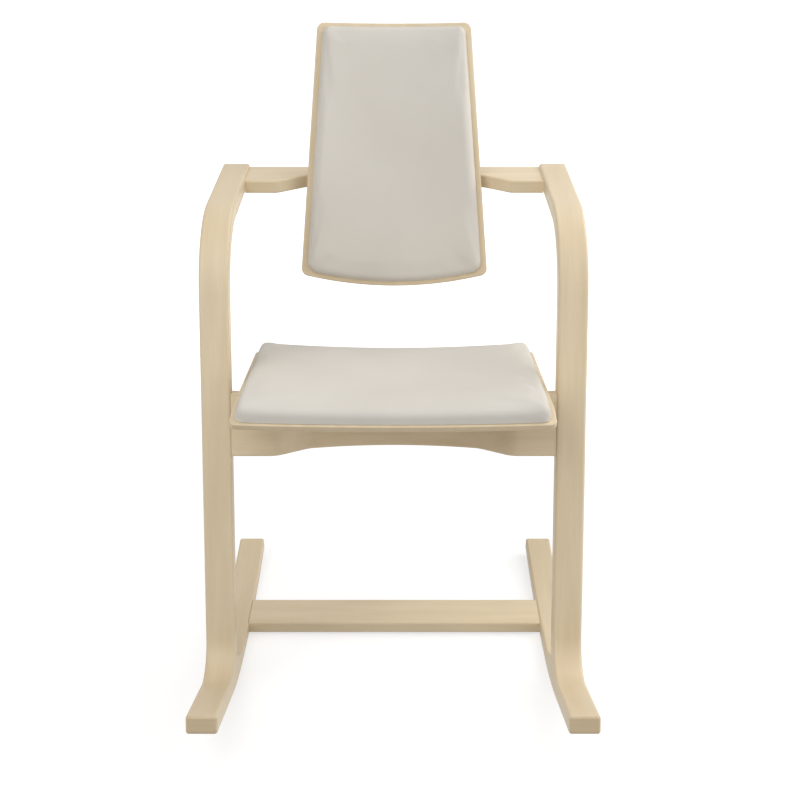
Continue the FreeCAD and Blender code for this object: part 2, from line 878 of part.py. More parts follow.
def tee_nut_holes():
    holes = []
    for y in bracket_bolt_ys:
        top = at(bracket_middle, y, seat_bolt_top - tee_room - tee_flange_height - tee_room)
        recess = rod(tee_flange_radius + tee_room, far, top, up)
        holes.append(recess.fuse(rod(tee_barrel_radius + tee_room, far, top, -up)))
    return holes


seat_screw_ys = (seat_rear - seat_screw_rear, seat_front + seat_screw_front)


def seat_pad_screw_seats():
    low = seat_under - dish(pad_screw_half - screw_head_radius) - bedding
    return [at(pad_screw_half, y, low) for y in seat_screw_ys]


seat_pad_screw_length = seat_thickness + bedding + pad_clearance + pad_screw_bite


def seat_pad_screws():
    return [headed(screw_radius, seat_pad_screw_length, screw_head_radius, screw_head_height, seat, up)
            for seat in seat_pad_screw_seats()]


def seat_pad_screw_holes():
    return [rod(screw_radius + screw_room, seat_pad_screw_length + screw_room, seat, up)
            for seat in seat_pad_screw_seats()]


# Backrest pivot

base_front = -base_rear - base_depth
base_top = -back_rail_drop + base_thickness


def hinge_base():
    """The right hinge base, drawn on a level arm: a plate with wings and two ears."""
    middle = (hinge_half - base_wing, hinge_half + base_wing)
    plate = block(middle, (base_front, -base_rear), (-back_rail_drop, base_top))
    for side in (-1, 1):
        inner = hinge_half + side * base_ear_inner
        outer = inner + side * base_ear_thickness
        limits = (min(inner, outer), max(inner, outer))
        start = at(limits[0], pivot_y, pivot_z)
        ear = block(limits, (pivot_y - base_ear_radius, pivot_y + base_ear_radius), (base_top, pivot_z))
        ear = ear.fuse(rod(base_ear_radius, base_ear_thickness, start, across))
        plate = plate.fuse(ear)
    bore = rod(pin_radius + pin_room, far, at(0, pivot_y, pivot_z), across)
    holes = [rod(screw_radius + screw_room, far, point + up * far / 2, -up) for point in base_screw_points()]
    return in_arm(plate.removeSplitter().cut([bore] + holes))


def base_screw_points():
    middle = base_front / 2 - base_rear / 2
    return [at(hinge_half + side * base_screw_half, middle, base_top) for side in (-1, 1)]


def base_screws():
    return [in_arm(headed(screw_radius, base_screw_length, screw_head_radius, screw_head_height, point, -up))
            for point in base_screw_points()]


def base_screw_pilots():
    return [in_arm(rod(screw_radius + screw_room, base_screw_length + screw_room, point, -up))
            for point in base_screw_points()]


def hinge_pin():
    """The right pin, with a head inside and a groove end outside for its clip."""
    reach = base_ear_inner + base_ear_thickness
    start = pivot + across * (hinge_half - reach)
    length = 2 * reach + pin_end
    pin = rod(pin_radius, length, start, across)
    return pin.fuse(rod(pin_head_radius, pin_head_height, start, -across)).removeSplitter()


def hinge_clip():
    start = pivot + across * (hinge_half + base_ear_inner + base_ear_thickness + pin_room)
    return ring(clip_radius, pin_radius + pin_room, clip_height, start, across)


def leaf_ears():
    """First and last X of each of the right leaf's ears."""
    outer = leaf_ear_inner + leaf_ear_thickness
    return [(hinge_half - outer, hinge_half - leaf_ear_inner), (hinge_half + leaf_ear_inner, hinge_half + outer)]


def hinge_leaf():
    """The right hinge leaf, drawn on an upright backrest: a plate with two ears around the pivot."""
    sides = (hinge_half - leaf_half_width, hinge_half + leaf_half_width)
    plate = block(sides, (block_rear, block_rear + leaf_thickness), (leaf_low, leaf_low + leaf_height))
    for limits in leaf_ears():
        start = at(limits[0], back_pivot.y, back_pivot.z)
        heights = (leaf_low, back_pivot.z + leaf_ear_radius)
        ear = block(limits, (block_rear, back_pivot.y), heights)
        plate = plate.fuse(ear.fuse(rod(leaf_ear_radius, leaf_ear_thickness, start, across)))
    bore = rod(bush_radius + bush_room, far, at(0, back_pivot.y, back_pivot.z), across)
    room = block((-far, far), (-far, block_rear), (-far, far))
    holes = [rod(screw_radius + screw_room, far, point + rearward * leaf_thickness, -rearward)
             for point in leaf_screw_points()]
    return plate.removeSplitter().cut([bore, room] + holes)


def leaf_screw_points():
    """Where the right leaf's screw heads sit, between and above its ears."""
    high = leaf_low + leaf_height - leaf_screw_margin
    rear = block_rear + leaf_thickness
    return [at(hinge_half + side * leaf_screw_half, rear, high) for side in (-1, 1)]


def leaf_screws():
    return [headed(screw_radius, leaf_screw_length, screw_head_radius, screw_head_height, point, -rearward)
            for point in leaf_screw_points()]


def leaf_screw_pilots():
    return [rod(screw_radius + screw_room, leaf_screw_length + screw_room, point, -rearward)
            for point in leaf_screw_points()]


def hinge_bushes():
    length = leaf_ear_thickness + 2 * bush_over
    starts = [at(limits[0] - bush_over, back_pivot.y, back_pivot.z) for limits in leaf_ears()]
    return [ring(bush_radius, pin_radius + pin_room, length, start, across) for start in starts]


def back_block():
    """A wooden block behind the back board, hollowed to it and flat behind for the hinge leaves."""
    blank = block((-block_half, block_half), (0, block_rear), (block_low, block_low + block_height))
    edges = [e for e in blank.Edges if e.BoundBox.YMin > block_rear - 0.01]
    blank = blank.makeFillet(block_least / 2, edges)
    room = rod(back_hollow_radius + back_thickness + glue_line, 2 * far, at(0, hollow_y, -far), up)
    return blank.cut(room)


def back_pad_screw_seats():
    """Each right screw's seat on the back board's rear face, and its way into the board."""
    angle = math.asin(back_screw_half / (back_hollow_radius + back_thickness))
    way = at(-math.sin(angle), -math.cos(angle), 0)
    radius = back_hollow_radius + back_thickness
    return [(at(0, hollow_y, z) - way * radius, way) for z in (-back_screw_low, back_screw_high)]


back_pad_screw_length = back_thickness + pad_clearance + pad_screw_bite


def back_pad_screws():
    return [headed(screw_radius, back_pad_screw_length, screw_head_radius, screw_head_height, seat, way)
            for seat, way in back_pad_screw_seats()]


def back_pad_screw_holes():
    return [rod(screw_radius + screw_room, back_pad_screw_length + screw_room, seat, way)
            for seat, way in back_pad_screw_seats()]


# The pieces of the frame and of the backrest

def side_pieces():
    blank = side_blank().cut([side_bolt_hole(p) for p in rail_bolts + back_bolts + stretcher_bolts])
    strip = blank.cut(runner_space(0))
    runner = blank.common(runner_space(glue_line))
    return {
        "left_side_frame": (mirrored(strip), wood_density),
        "right_side_frame": (strip, wood_density),
        "left_rear_runner": (mirrored(runner), wood_density),
        "right_rear_runner": (runner, wood_density),
    }


def rail_pieces():
    rail_holes = [side_bolt_hole(p) for p in rail_bolts] + bracket_screw_pilots()
    rail_holes += [barrel_hole(p, *rail_barrels) for p in rail_bolts]
    back_holes = [side_bolt_hole(p) for p in back_bolts] + base_screw_pilots()
    back_holes += [barrel_hole(p, *back_barrels) for p in back_bolts]
    stretcher_holes = [side_bolt_hole(p) for p in stretcher_bolts]
    stretcher_holes += [barrel_hole(p, *stretcher_barrels) for p in stretcher_bolts]
    return {
        "seat_rail": (without(seat_rail_blank(), rail_holes), wood_density),
        "back_rail": (without(back_rail_blank(), back_holes), wood_density),
        "floor_stretcher": (without(stretcher_blank(), stretcher_holes), wood_density),
        "seat_rail_bolts": (group([side_bolt(p) for p in rail_bolts]), steel_density),
        "back_rail_bolts": (group([side_bolt(p) for p in back_bolts]), steel_density),
        "stretcher_bolts": (group([side_bolt(p) for p in stretcher_bolts]), steel_density),
        "seat_rail_barrel_nuts": (group([barrel(p, *rail_barrels) for p in rail_bolts]), steel_density),
        "back_rail_barrel_nuts": (group([barrel(p, *back_barrels) for p in back_bolts]), steel_density),
        "stretcher_barrel_nuts": (group([barrel(p, *stretcher_barrels) for p in stretcher_bolts]), steel_density),
    }


def seat_pieces():
    inner = cover_thickness + pad_clearance / 2
    panel_inset = seat_pad_margin + pad_panel_inset
    panel_top = pad_clearance + pad_panel_thickness
    below = seat_layer(-seat_height / 4, pad_clearance, seat_half + strip_width, -strip_width, -strip_width)
    panel_room = seat_layer(-seat_height / 4, panel_top + pad_clearance, seat_half - panel_inset + pad_clearance,
                            panel_inset - pad_clearance, panel_inset - pad_clearance)
    panel = seat_layer(pad_clearance, panel_top, seat_half - panel_inset, panel_inset, panel_inset)
    cover = seat_pad_form(0).cut(seat_pad_form(cover_thickness)).cut(below)
    foam = seat_pad_form(inner).cut(below).cut(panel_room)
    board = without(seat_board_blank(), tee_nut_holes() + seat_pad_screw_holes())
    bracket = seat_bracket()
    return {
        "seat_board": (board, wood_density),
        "seat_pad_panel": (without(panel, seat_pad_screw_holes()), wood_density),
        "seat_foam": (foam, cloth_density),
        "seat_cover": (cover, cloth_density),
        "left_seat_bracket": (mirrored(bracket), steel_density),
        "right_seat_bracket": (bracket, steel_density),
        "seat_bracket_screws": (group(bracket_screws()), steel_density),
        "seat_bolts": (group(seat_bolts()), steel_density),
        "seat_tee_nuts": (group(tee_nuts()), steel_density),
        "seat_pad_screws": (group(seat_pad_screws()), steel_density),
    }


def hinge_base_pieces():
    base = hinge_base()
    return {
        "left_hinge_base": (mirrored(base), steel_density),
        "right_hinge_base": (base, steel_density),
        "hinge_base_screws": (group(base_screws()), steel_density),
        "hinge_pins": (group([hinge_pin()]), steel_density),
        "hinge_pin_clips": (group([hinge_clip()]), steel_density),
    }


def backrest_pieces():
    inner = cover_thickness + pad_clearance / 2
    behind = back_band(-pad_clearance, far)
    sheet = back_band(-pad_clearance - pad_panel_thickness, -pad_clearance)
    panel_side = back_pad_margin + pad_panel_inset
    panel_top = back_pad_top_margin + pad_panel_inset
    panel_bottom = back_pad_bottom_margin + pad_panel_inset
    panel_blank = back_outline(panel_side, panel_top, panel_bottom)
    front = block((-far, far), (-back_hollow_radius / 2, far), (-far, far))
    panel = sheet.common(panel_blank).common(front)
    room_blank = back_outline(panel_side - pad_clearance, panel_top - pad_clearance, panel_bottom - pad_clearance)
    panel_room = back_band(-2 * pad_clearance - pad_panel_thickness, far).common(room_blank)
    cover = back_pad_form(0).cut(back_pad_form(cover_thickness)).cut(behind)
    foam = back_pad_form(inner).cut(behind).cut(panel_room)
    board = without(back_board_blank(), leaf_screw_pilots() + back_pad_screw_holes())
    leaf = hinge_leaf()
    upright = {
        "back_board": (board, wood_density),
        "back_block": (without(back_block(), leaf_screw_pilots()), wood_density),
        "back_pad_panel": (without(panel, back_pad_screw_holes()), wood_density),
        "back_foam": (foam, cloth_density),
        "back_cover": (cover, cloth_density),
        "left_hinge_leaf": (mirrored(leaf), steel_density),
        "right_hinge_leaf": (leaf, steel_density),
        "hinge_leaf_screws": (group(leaf_screws()), steel_density),
        "hinge_bushes": (group(hinge_bushes()), rubber_density),
        "back_pad_screws": (group(back_pad_screws()), steel_density),
    }
    return {name: (in_back(shape), density) for name, (shape, density) in upright.items()}


def weight(pieces):
    """Mass in kilograms and centre of mass of some pieces."""
    mass = 0.0
    moment = at(0, 0, 0)
    for shape, density in pieces.values():
        for solid in shape.Solids:
            mass += solid.Volume * density
            moment += solid.CenterOfMass * (solid.Volume * density)
    return mass, moment * (1 / mass)


backrest = backrest_pieces()
chair = {**side_pieces(), **rail_pieces(), **seat_pieces(), **hinge_base_pieces(), **backrest}
chair_mass, chair_centre = weight(chair)
back_mass, back_centre = weight(backrest)
rocker_centre = at(0, 0, rocker_radius)
lean = math.degrees(math.atan2(chair_centre.y, rocker_radius - chair_centre.z))


def leaned(shape):
    """A shape after the chair has rolled back on its runners, with the point it stands on at the origin."""
    moved = shape.copy()
    moved.rotate(rocker_centre, across, -lean)
    return moved


def leaned_point(point):
    return tilted_point(point - rocker_centre, -lean, 0, rocker_radius)


os.makedirs("parts", exist_ok=True)
for name, (shape, density) in chair.items():
    leaned(shape).exportStep("parts/" + name + ".step")

print("lean", round(lean, 3), "mass", round(chair_mass, 3))
print("balance point", [round(value, 2) for value in leaned_point(chair_centre)])
print("pivot", [round(value, 3) for value in leaned_point(pivot)])
print("backrest mass", round(back_mass, 3), "centre", [round(value, 2) for value in leaned_point(back_centre)])
print("arm top", [round(value, 3) for value in leaned_point((arm_end + knuckle_bend[0]) * 0.5)])
print("arm slope", round(arm_rise - lean, 3))
print("seat middle", [round(value, 2) for value in leaned_point(at(0, 0, seat_height + seat_pad_crown))])
for name, (shape, density) in chair.items():
    valid = all(solid.isValid() for solid in shape.Solids)
    print(name, len(shape.Solids), round(shape.Volume), "ok" if valid else "NOT VALID")
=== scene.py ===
import itertools
import json
import math

import bmesh
import bpy
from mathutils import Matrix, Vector


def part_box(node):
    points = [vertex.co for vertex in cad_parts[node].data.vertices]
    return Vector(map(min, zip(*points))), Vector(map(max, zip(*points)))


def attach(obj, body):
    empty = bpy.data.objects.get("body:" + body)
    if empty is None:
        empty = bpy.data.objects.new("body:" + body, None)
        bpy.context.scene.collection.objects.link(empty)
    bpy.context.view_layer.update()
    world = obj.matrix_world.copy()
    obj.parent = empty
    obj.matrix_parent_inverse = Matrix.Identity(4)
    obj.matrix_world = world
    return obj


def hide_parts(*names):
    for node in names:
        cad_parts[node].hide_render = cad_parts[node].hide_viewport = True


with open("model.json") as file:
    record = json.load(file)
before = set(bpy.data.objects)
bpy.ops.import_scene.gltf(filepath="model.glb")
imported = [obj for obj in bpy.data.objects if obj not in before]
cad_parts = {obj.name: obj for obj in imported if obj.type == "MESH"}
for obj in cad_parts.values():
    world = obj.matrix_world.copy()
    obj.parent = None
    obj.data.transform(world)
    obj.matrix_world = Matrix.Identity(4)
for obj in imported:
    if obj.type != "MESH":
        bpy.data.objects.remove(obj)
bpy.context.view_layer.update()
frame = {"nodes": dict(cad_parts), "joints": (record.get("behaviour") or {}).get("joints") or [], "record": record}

# Looks for a rocking chair of pale bent wood with two upholstered pads.
# Metres and degrees, in the frame's own axes: X across the chair, Y to its rear and Z up.

nodes = frame["nodes"]
record = frame["record"]

# Camera of the photograph, with its sensor in millimetres
camera_place = Vector((0.0092, -1.7318, 1.1697))
camera_pitch = 24.236
sensor_width = 36.0
focal_pixels = 1222.0
picture_pixels = 800.0

# Side strips, which the grain and the laminations follow, with angles as drawn before the chair leans back
strip_thickness = 0.026
strip_ply = 0.0026
arm_straight = 0.2007
knuckle_radius = 0.139
leg_lean = 9.78
leg_straight = 0.515
ankle_radius = 0.050
foot_rise = 12.1
foot_straight = 0.1329
rocker_radius = 1.450

# Flat and moulded boards
back_rail_drop = 0.0055
stretcher_turn = 5.38
stretcher_height = 0.0224
thin_ply = 0.00143
seat_rear = 0.212
seat_dish = 0.005
lip_start = 0.0689
lip_radius = 0.111
lip_angle = 28.0
back_recline = 10.0
back_above = 0.2355
back_below = 0.1585
back_half_top = 0.1205
back_half_bottom = 0.1495
back_bulge = 0.019
back_hollow_radius = 0.650
pivot_behind = 0.0391
pivot_above = 0.0225

# Pads: room to the edges of their boards, heights over the boards at sides and crowns, and rolled edges
seat_margin = 0.0065
seat_front_margin = 0.004
seat_side = 0.0238
seat_crown = 0.014
back_margin = 0.0085
back_top_margin = 0.005
back_low_margin = 0.0065
back_side = 0.014
back_crown = 0.021
pad_room = 0.0004
pad_roll = 0.014
pad_fullness = 2.5
pad_face = 0.006
roll_steps = 6

# Cloth that the pads are blown up as, and the most that it moves
cloth_pressure = 4.0
cloth_frames = 20
cloth_quality = 6
cloth_bending = 0.6
pad_swell = 0.002

# Floor and sky: strengths of the sky and of the floor's own glow, and where the floor's shadow fades out
sky = 0.41
floor_glow = 0.65
floor_grey = 0.5
floor_roughness = 0.95
floor_size = 30.0
floor_drop = 0.0004
shadow_radius = 0.6

# Lamps, with powers in watts
lamps = {
    "key_light": {"place": (-0.9, -1.4, 2.4), "target": (0, 0, 0.45), "size": 2.0, "power": 21.0},
    "left_light": {"place": (-1.8, -1.6, 1.2), "target": (0, 0, 0.5), "size": 1.0, "power": 5.0},
    "side_light": {"place": (1.4, 0.4, 1.55), "target": (0.2, 0.1, 0.6), "size": 2.0, "power": 23.0},
    "low_light": {"place": (1.8, -0.9, 0.5), "target": (-0.1, -0.1, 0.3), "size": 0.8, "power": 5.5},
}

# Colours as seen, red, green and blue from 0 to 255
white = (255, 255, 255)
wood_light = (235, 217, 185)
wood_mid = (223, 203, 168)
wood_dark = (196, 174, 140)
glue_dark = (150, 126, 94)
fabric_light = (230, 225, 216)
fabric_dark = (216, 210, 200)

# Wood: blotches of each noise per metre along and across the grain, and the range of it that shows
cloud_along = 5.0
cloud_across = 45.0
cloud_share = 0.65
fibre_along = 14.0
fibre_across = 700.0
band_range = (0.33, 0.67)
fleck_along = 160.0
fleck_across = 1300.0
fleck_range = (0.66, 0.78)
fleck_shade = 0.35
end_depth = 0.003
end_shade = 0.7
wood_roughness = 0.38
wood_roughness_spread = 0.18
wood_coat = 0.12
wood_coat_roughness = 0.3
fibre_depth = 0.0001
fibre_bump = 0.35

# Plies: the step in the noise from one to the next, and how dark plies, crossed plies and glue lines are
layer_step = 7.31
layer_along = 2.0
layer_range = (0.4, 0.7)
layer_shade = 0.25
crossed_shade = 0.5
glue_share = 0.07
glue_shade = 0.4

# Fabric: width of a thread, blotches of each noise per metre, and shares in its tone and its relief, where the
# threads' share in the tone is painted shade, lighter on their crests and darker between them
thread = 0.0011
slub_along = 700.0
slub_across = 90.0
fabric_cloud = 7.0
tone_cloud = 0.65
tone_slub = 0.1
painted_weave_shade = 0.25
tone_range = (0.2, 0.8)
relief_thread = 0.7
relief_slub = 0.3
weave_depth = 0.00025
weave_bump = 0.3
fabric_roughness = 0.82
fabric_roughness_spread = 0.12
fabric_specular = 0.2
fabric_sheen = 0.12
fabric_sheen_roughness = 0.5

# Metal and rubber: the range of their grain that shows, and its share in gloss and relief
speckle_range = (0.3, 0.7)
speckle_gloss = 0.2
speckle_bump = 0.4


def linear(colour):
    """A colour from 0 to 255 as the linear colour that a shader takes."""
    shares = [value / 255 for value in colour]
    return [s / 12.92 if s <= 0.04045 else ((s + 0.055) / 1.055) ** 2.4 for s in shares] + [1.0]


def sine(angle):
    return math.sin(math.radians(angle))


def cosine(angle):
    return math.cos(math.radians(angle))


# Numbers that vary over a surface

class Field:
    """One output of a material's nodes, with arithmetic that adds nodes."""

    def __init__(self, tree, socket):
        self.tree = tree
        self.socket = socket

    def math(self, operation, *others):
        node = self.tree.nodes.new("ShaderNodeMath")
        node.operation = operation
        for place, value in zip(node.inputs, (self,) + others):
            give(self.tree, value, place)
        return Field(self.tree, node.outputs[0])

    def __add__(self, other):
        return self.math("ADD", other)

    def __sub__(self, other):
        return self.math("SUBTRACT", other)

    def __mul__(self, other):
        return self.math("MULTIPLY", other)

    def __neg__(self):
        return self * -1.0


def give(tree, value, socket):
    """Sets a socket to a number or links a field to it."""
    if isinstance(value, Field):
        tree.links.new(value.socket, socket)
    else:
        socket.default_value = value


def mixed(first, last, factor):
    return first + (last - first) * factor


def zero_to_one(field):
    """A range from -1 to 1 as a range from 0 to 1."""
    return field * 0.5 + 0.5


def position(tree):
    """The place on the piece, as three fields that stay with the piece when it moves."""
    coordinates = tree.nodes.new("ShaderNodeTexCoord")
    parts = tree.nodes.new("ShaderNodeSeparateXYZ")
    tree.links.new(coordinates.outputs["Object"], parts.inputs[0])
    return [Field(tree, socket) for socket in parts.outputs]


def noise(tree, place, detail, roughness):
    """Cloudy noise from about 0 to 1 over three fields or numbers, one blotch per unit."""
    vector = tree.nodes.new("ShaderNodeCombineXYZ")
    for value, socket in zip(place, vector.inputs):
        give(tree, value, socket)
    cloud = tree.nodes.new("ShaderNodeTexNoise")
    cloud.inputs["Scale"].default_value = 1.0
    cloud.inputs["Detail"].default_value = detail
    cloud.inputs["Roughness"].default_value = roughness
    tree.links.new(vector.outputs[0], cloud.inputs["Vector"])
    return Field(tree, cloud.outputs["Fac"])


def spread(field, low, high):
    """Stretches the range from low to high to the range from 0 to 1, and clips it."""
    node = field.tree.nodes.new("ShaderNodeMapRange")
    node.clamp = True
    node.inputs["From Min"].default_value = low
    node.inputs["From Max"].default_value = high
    give(field.tree, field, node.inputs["Value"])
    return Field(field.tree, node.outputs["Result"])


def colour_mix(factor, first, last):
    """A colour between two colours or colour sockets."""
    node = factor.tree.nodes.new("ShaderNodeMix")
    node.data_type = "RGBA"
    give(factor.tree, factor, node.inputs["Factor"])
    for value, socket in ((first, node.inputs["A"]), (last, node.inputs["B"])):
        if isinstance(value, bpy.types.NodeSocket):
            factor.tree.links.new(value, socket)
        else:
            socket.default_value = value
    return node.outputs["Result"]


def bumped(height, distance, strength, shader):
    node = height.tree.nodes.new("ShaderNodeBump")
    node.inputs["Distance"].default_value = distance
    node.inputs["Strength"].default_value = strength
    give(height.tree, height, node.inputs["Height"])
    height.tree.links.new(node.outputs["Normal"], shader.inputs["Normal"])


def new_material(name):
    material = bpy.data.materials.new(name)
    material.use_nodes = True
    return material, material.node_tree, material.node_tree.nodes["Principled BSDF"]


# Paths that the grain follows: distance along the wood and depth below its outer face

def turned(way):
    """The direction a quarter turn from a way: into the wood from a strip's outer face."""
    return Vector((0, -way.z, way.y))


def distance(y, z, start, way):
    return (y - start.y) * way.y + (z - start.z) * way.z


def beyond(field):
    return field.math("GREATER_THAN", 0.0)


def hypotenuse(first, second):
    return (first * first + second * second).math("SQRT")


def mount(name):
    return next(entry for entry in record["mounts"] if entry["name"] == name)


seat_up = Vector(mount("seat_surface")["axis"])
seat_forward = turned(seat_up)
seat_middle = Vector(mount("seat_surface")["pos_m"]) - seat_up * seat_crown
lip_centre = seat_middle + seat_forward * lip_start - seat_up * lip_radius
lean = math.degrees(math.atan2(seat_up.y, seat_up.z))
back_up = Vector((0, sine(lean + back_recline), cosine(lean + back_recline)))
back_forward = turned(back_up)
pivot = Vector(frame["joints"][0]["pos_m"])
back_middle = pivot + back_forward * pivot_behind - back_up * pivot_above
arm_middle = Vector(mount("right_arm_top")["pos_m"])
arm_up = Vector(mount("right_arm_top")["axis"])
arm_way = turned(arm_up)
leg_way = Vector((0, -sine(lean + leg_lean), -cosine(lean + leg_lean)))
foot_way = Vector((0, -cosine(lean + foot_rise), sine(lean + foot_rise)))
knuckle_start = arm_middle + arm_way * (arm_straight / 2)
knuckle_centre = knuckle_start - arm_up * knuckle_radius
leg_start = knuckle_centre - turned(leg_way) * knuckle_radius
ankle_start = leg_start + leg_way * leg_straight
ankle_centre = ankle_start - turned(leg_way) * ankle_radius
foot_start = ankle_centre + turned(foot_way) * ankle_radius
knuckle_length = knuckle_radius * arm_way.angle(leg_way)
ankle_length = (ankle_radius + strip_thickness / 2) * leg_way.angle(foot_way)


def strip_path(x, y, z):
    """Along the arm, over the knuckle, down the leg, round the ankle and out along the foot."""
    along = distance(y, z, knuckle_start, arm_way)
    depth = distance(y, z, knuckle_start, -arm_up)
    stretch = beyond(along)
    forward = distance(y, z, knuckle_centre, arm_way)
    upward = distance(y, z, knuckle_centre, arm_up)
    along = mixed(along, forward.math("ARCTAN2", upward) * knuckle_radius, stretch)
    depth = mixed(depth, -hypotenuse(forward, upward) + knuckle_radius, stretch)
    leg_along = distance(y, z, leg_start, leg_way)
    stretch = beyond(leg_along)
    along = mixed(along, leg_along + knuckle_length, stretch)
    depth = mixed(depth, distance(y, z, leg_start, turned(leg_way)), stretch)
    stretch = beyond(leg_along - leg_straight)
    downward = distance(y, z, ankle_centre, leg_way)
    rearward = distance(y, z, ankle_centre, turned(leg_way))
    turn = downward.math("ARCTAN2", rearward) * (ankle_length / leg_way.angle(foot_way))
    along = mixed(along, turn + (knuckle_length + leg_straight), stretch)
    depth = mixed(depth, hypotenuse(downward, rearward) - ankle_radius, stretch)
    foot_along = distance(y, z, foot_start, foot_way)
    stretch = beyond(foot_along)
    along = mixed(along, foot_along + (knuckle_length + leg_straight + ankle_length), stretch)
    depth = mixed(depth, distance(y, z, foot_start, turned(foot_way)), stretch)
    return along, x, depth


def runner_path(x, y, z):
    """Along the rocker's arc, whose centre is above the point that the chair stands on."""
    drop = -z + rocker_radius
    return y.math("ARCTAN2", drop) * rocker_radius, x, -hypotenuse(y, drop) + rocker_radius


def across_path(x, y, z):
    """Along a piece that lies across the chair."""
    return x, y, z


def back_rail_path(x, y, z):
    """Along the back rail, which lies a little below the tops of the arms."""
    return x, distance(y, z, arm_middle, arm_way), distance(y, z, arm_middle, -arm_up) - back_rail_drop


def stretcher_path(x, y, z):
    """Along the floor stretcher, which faces the centre of the rocker's arc."""
    turn = lean - stretcher_turn
    normal = Vector((0, sine(turn), cosine(turn)))
    top = Vector((0, 0, rocker_radius)) - normal * (rocker_radius - stretcher_height)
    return x, distance(y, z, top, turned(normal)), distance(y, z, top, -normal)


seat_half = (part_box("seat_board")[1].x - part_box("seat_board")[0].x) / 2
seat_front = lip_start + lip_radius * math.radians(lip_angle)


def seat_depth(x, y, z):
    """Distance from the seat's middle towards its front edge, and depth below its dished top."""
    along = distance(y, z, seat_middle, seat_forward)
    depth = distance(y, z, seat_middle, -seat_up)
    ahead = distance(y, z, lip_centre, seat_forward)
    above = distance(y, z, lip_centre, seat_up)
    stretch = beyond(ahead)
    along = mixed(along, ahead.math("ARCTAN2", above) * lip_radius + lip_start, stretch)
    depth = mixed(depth, -hypotenuse(ahead, above) + lip_radius, stretch)
    dish = (x * x) * (-seat_dish / seat_half ** 2) + seat_dish
    return along, depth - dish


def seat_path(x, y, z):
    along, depth = seat_depth(x, y, z)
    return along, x, depth


def back_half(height):
    """Half the width of the tapered back board at a height on it."""
    share = (height + back_below) / (back_above + back_below)
    return back_half_bottom + (back_half_top - back_half_bottom) * share


# The axis of the back board's hollow lies this far in front of a line between the board's side edges
hollow = math.sqrt(back_hollow_radius ** 2 - back_half(0) ** 2)


def back_depth(x, y, z):
    """Distance up the backrest, and depth behind the back board's hollow front."""
    behind = distance(y, z, back_middle, -back_forward) + hollow
    return distance(y, z, back_middle, back_up), hypotenuse(x, behind) - back_hollow_radius


def back_path(x, y, z):
    along, depth = back_depth(x, y, z)
    return along, x, depth


# Wood

def laminated(colour, along, depth, ply, crossed):
    """Darkens a wood colour in plies below its outer face, with glue lines between them."""
    layer = depth * (1 / ply) + 0.5
    number = layer.math("FLOOR")
    from_middle = (layer.math("FRACT") - 0.5).math("ABSOLUTE")
    glue = spread(from_middle, 0.5 - glue_share, 0.5)
    tones = noise(along.tree, (number * layer_step, along * layer_along, 0.0), detail=0.0, roughness=0.5)
    shade = spread(tones, *layer_range) * layer_shade + number.math("PINGPONG", 1.0) * crossed
    colour = colour_mix(shade, colour, linear(wood_dark))
    return colour_mix(glue * glue_shade, colour, linear(glue_dark))


def darker_ends(colour, along, first, last):
    """Darkens a wood colour at the two cut ends of its path."""
    middle = (first + last) / 2
    reach = last - middle
    cut = spread((along - middle).math("ABSOLUTE"), reach - end_depth, reach)
    return colour_mix(cut * end_shade, colour, linear(wood_dark))


def wood(name, path, ply=0, crossed=0.0, ends=None):
    """Pale lacquered wood with grain along a path, laminated if it has plies and darker at its cut ends."""
    material, tree, shader = new_material(name)
    along, across, depth = path(*position(tree))

    def grain(along_count, across_count, detail, roughness):
        place = (along * along_count, across * across_count, depth * across_count)
        return noise(tree, place, detail, roughness)

    clouds = grain(cloud_along, cloud_across, detail=2.0, roughness=0.5)
    fibres = grain(fibre_along, fibre_across, detail=3.0, roughness=0.6)
    flecks = grain(fleck_along, fleck_across, detail=1.0, roughness=0.5)
    bands = spread(clouds * cloud_share + fibres * (1 - cloud_share), *band_range)
    colour = colour_mix(bands, linear(wood_mid), linear(wood_light))
    colour = colour_mix(spread(flecks, *fleck_range) * fleck_shade, colour, linear(wood_dark))
    if ply:
        colour = laminated(colour, along, depth, ply, crossed)
    if ends:
        colour = darker_ends(colour, along, *ends)
    tree.links.new(colour, shader.inputs["Base Color"])
    give(tree, fibres * wood_roughness_spread + wood_roughness, shader.inputs["Roughness"])
    shader.inputs["Coat Weight"].default_value = wood_coat
    shader.inputs["Coat Roughness"].default_value = wood_coat_roughness
    bumped(fibres, fibre_depth, fibre_bump, shader)
    return material


# Fabric

def fabric(name, length_and_depth):
    """A fine plain weave whose threads follow the pad's length and width and run on down its sides."""
    material, tree, shader = new_material(name)
    x, y, z = position(tree)
    along, depth = length_and_depth(x, y, z)
    turns = 2 * math.pi / thread
    warp = (x + depth) * turns
    weft = (along + depth) * turns
    over = zero_to_one((warp * 0.5).math("SINE") * (weft * 0.5).math("SINE"))
    height = zero_to_one(mixed(warp.math("SINE"), weft.math("SINE"), over))
    slub_place = (x * slub_across, along * slub_along, depth * slub_across)
    slubs = noise(tree, slub_place, detail=2.0, roughness=0.5)
    cloud_place = [field * fabric_cloud for field in (x, along, depth)]
    clouds = noise(tree, cloud_place, detail=2.0, roughness=0.5)
    # Random tone from clouds and slubs, plus painted shade of the weave: lighter on the threads' crests and darker
    # between them
    tone_and_weave_shade = spread(clouds * tone_cloud + slubs * tone_slub + height * painted_weave_shade, *tone_range)
    tree.links.new(colour_mix(tone_and_weave_shade, linear(fabric_dark), linear(fabric_light)), shader.inputs["Base Color"])
    give(tree, slubs * fabric_roughness_spread + fabric_roughness, shader.inputs["Roughness"])
    shader.inputs["Sheen Weight"].default_value = fabric_sheen
    shader.inputs["Sheen Roughness"].default_value = fabric_sheen_roughness
    shader.inputs["Specular IOR Level"].default_value = fabric_specular
    bumped(height * relief_thread + slubs * relief_slub, weave_depth, weave_bump, shader)
    return material


# Metal and rubber

